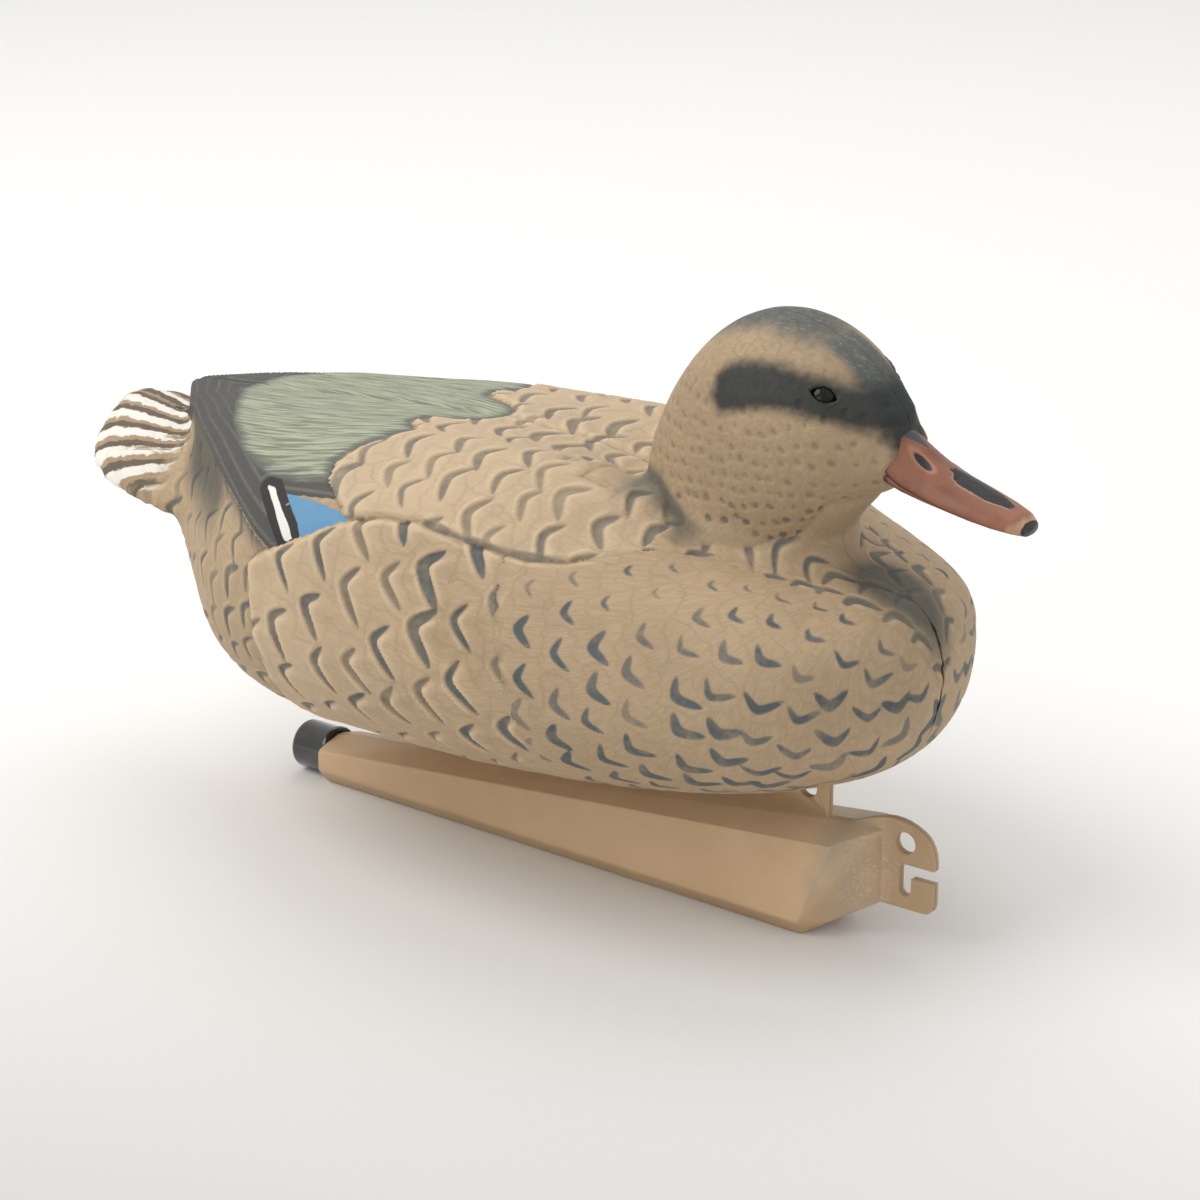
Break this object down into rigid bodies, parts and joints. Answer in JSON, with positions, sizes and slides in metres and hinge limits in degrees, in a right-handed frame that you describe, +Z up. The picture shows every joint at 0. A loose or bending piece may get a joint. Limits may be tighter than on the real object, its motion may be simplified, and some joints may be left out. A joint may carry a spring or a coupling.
{
  "type": "floating duck decoy",
  "caption": "Hollow moulded floating duck decoy at rest, with a sand-filled keel, a push-on keel cap and a fin with a hole and slot for the anchor line.",
  "frame": {"origin": "centre of the footprint, on the surface that the keel stands on", "axes": "+X towards the bill, +Y towards the duck's left side, +Z up"},
  "size_m": [0.3804, 0.1702, 0.2048],
  "materials": {
    "painted_casing": "matt tan plastic with hand-painted slate crescents, moulded feather relief",
    "keel_plastic": "satin tan plastic",
    "black_cap": "glossy black soft plastic",
    "dry_sand": "dry loose sand",
    "eye_black": "polished black"
  },
  "bodies": {
    "decoy": {"body_shell_right": "painted_casing", "body_shell_left": "painted_casing", "keel_shell_right": "keel_plastic", "keel_shell_left": "keel_plastic", "sand_ballast": "dry_sand", "eye_right": "eye_black", "eye_left": "eye_black"},
    "cap": {"keel_cap": "black_cap"}
  },
  "joints": [
    {"name": "cap_pull", "type": "slide", "parent": "decoy", "child": "cap", "axis": [-1, 0, 0], "range_m": [0, 0.03]}
  ]
}
